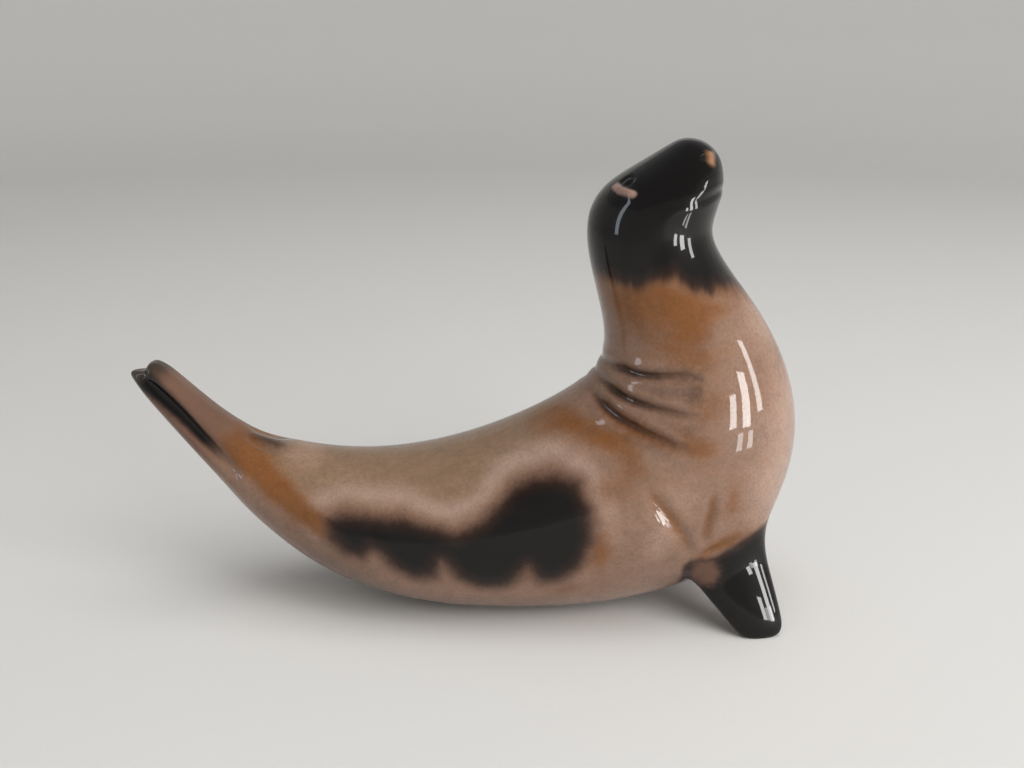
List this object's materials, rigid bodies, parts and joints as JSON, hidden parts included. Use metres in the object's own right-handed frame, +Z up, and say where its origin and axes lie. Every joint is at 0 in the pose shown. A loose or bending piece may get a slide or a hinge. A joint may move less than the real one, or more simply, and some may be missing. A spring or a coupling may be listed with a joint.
{
  "type": "seal figurine",
  "caption": "Glazed ceramic sea lion resting on its belly and front flippers, with raised head, folded nape, dark face, flank patch and lifted tail.",
  "frame": {"origin": "centre of the bounding box on the surface that the figurine stands on", "axes": "+X from the tail to the head, +Y to the animal's left, +Z up"},
  "size_m": [0.1861, 0.0576, 0.133],
  "materials": {
    "glaze": "high gloss clear glaze over airbrushed tan, orange-brown and near-black"
  },
  "bodies": {
    "root": {"seal_figurine": "glaze"}
  },
  "joints": []
}
